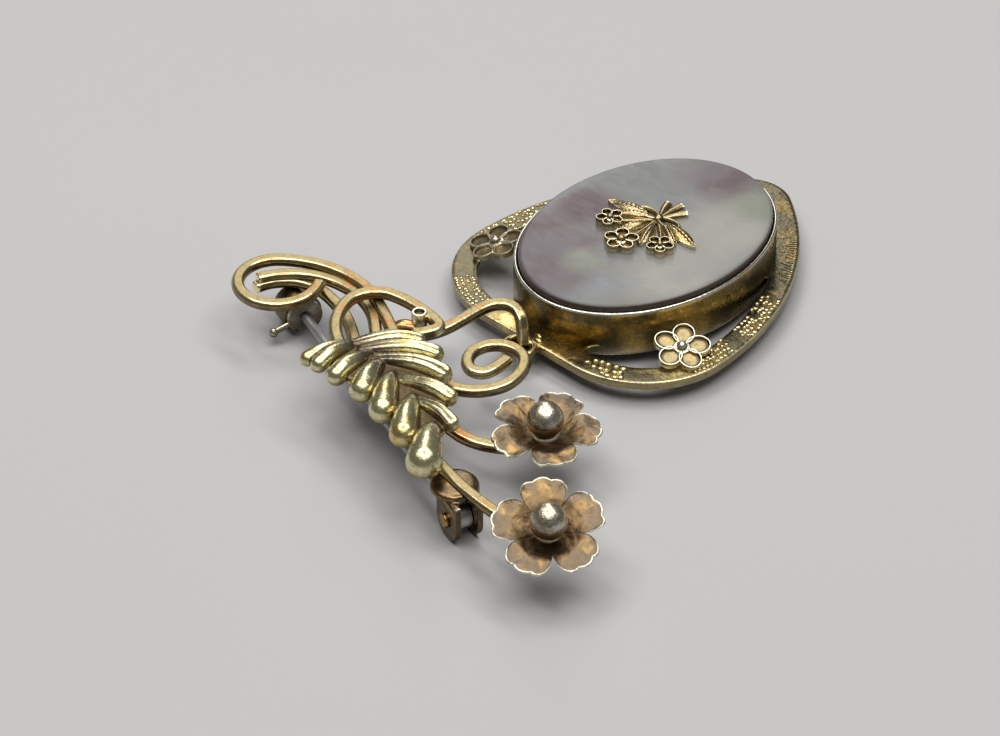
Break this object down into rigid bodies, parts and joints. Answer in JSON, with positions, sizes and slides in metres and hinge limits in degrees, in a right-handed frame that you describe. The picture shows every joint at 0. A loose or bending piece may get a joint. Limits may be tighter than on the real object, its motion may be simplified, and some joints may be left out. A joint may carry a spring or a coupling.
{
  "type": "locket brooch",
  "caption": "Oval locket with a shell face in a heart-shaped metal frame, hung by a ring from a bent-wire brooch with a leaf, two blossoms, a hinged pin and a safety catch.",
  "frame": {"origin": "on the surface that the brooch lies on, below the middle of the locket's back", "axes": "+Z out of the locket's face, +Y from the middle of the locket to its ring, +X to the right of someone who looks at the face with the ring up"},
  "size_m": [0.0471, 0.0551, 0.008],
  "materials": {
    "aged_brass": "bright brass wire with a brown, coppery tarnish in the hollows",
    "copper": "reddish copper, lightly tarnished",
    "pin_steel": "drawn, satin",
    "case_brass": "olive gilt with a brown tarnish, pebbled and hatched on the band",
    "shell": "polished mother-of-pearl, pale lilac grey",
    "gilt_brass": "bright gilt relief"
  },
  "bodies": {
    "brooch": {"brooch_spray": "aged_brass", "joint_rivet": "copper", "locket_case": "case_brass", "shell_face": "shell", "shell_spray": "gilt_brass", "cover_hinge_pin": "case_brass"},
    "pin": {"pin_stem": "pin_steel"},
    "lever": {"catch_lever": "aged_brass"},
    "cover": {"back_cover": "case_brass"}
  },
  "joints": [
    {"name": "pin_hinge", "type": "hinge", "parent": "brooch", "child": "pin", "pos_m": [-0.012, 0.0344, 0.00175], "axis": [0.3298, 0.9441, 0], "range_deg": [0, 80]},
    {"name": "catch_turn", "type": "hinge", "parent": "brooch", "child": "lever", "pos_m": [0.0172, 0.0242, 0.00175], "axis": [0.9441, -0.3298, 0], "range_deg": [0, 76]},
    {"name": "back_hinge", "type": "hinge", "parent": "brooch", "child": "cover", "pos_m": [0.00997, 0, 0.0009], "axis": [0, -1, 0], "range_deg": [0, 110]}
  ]
}
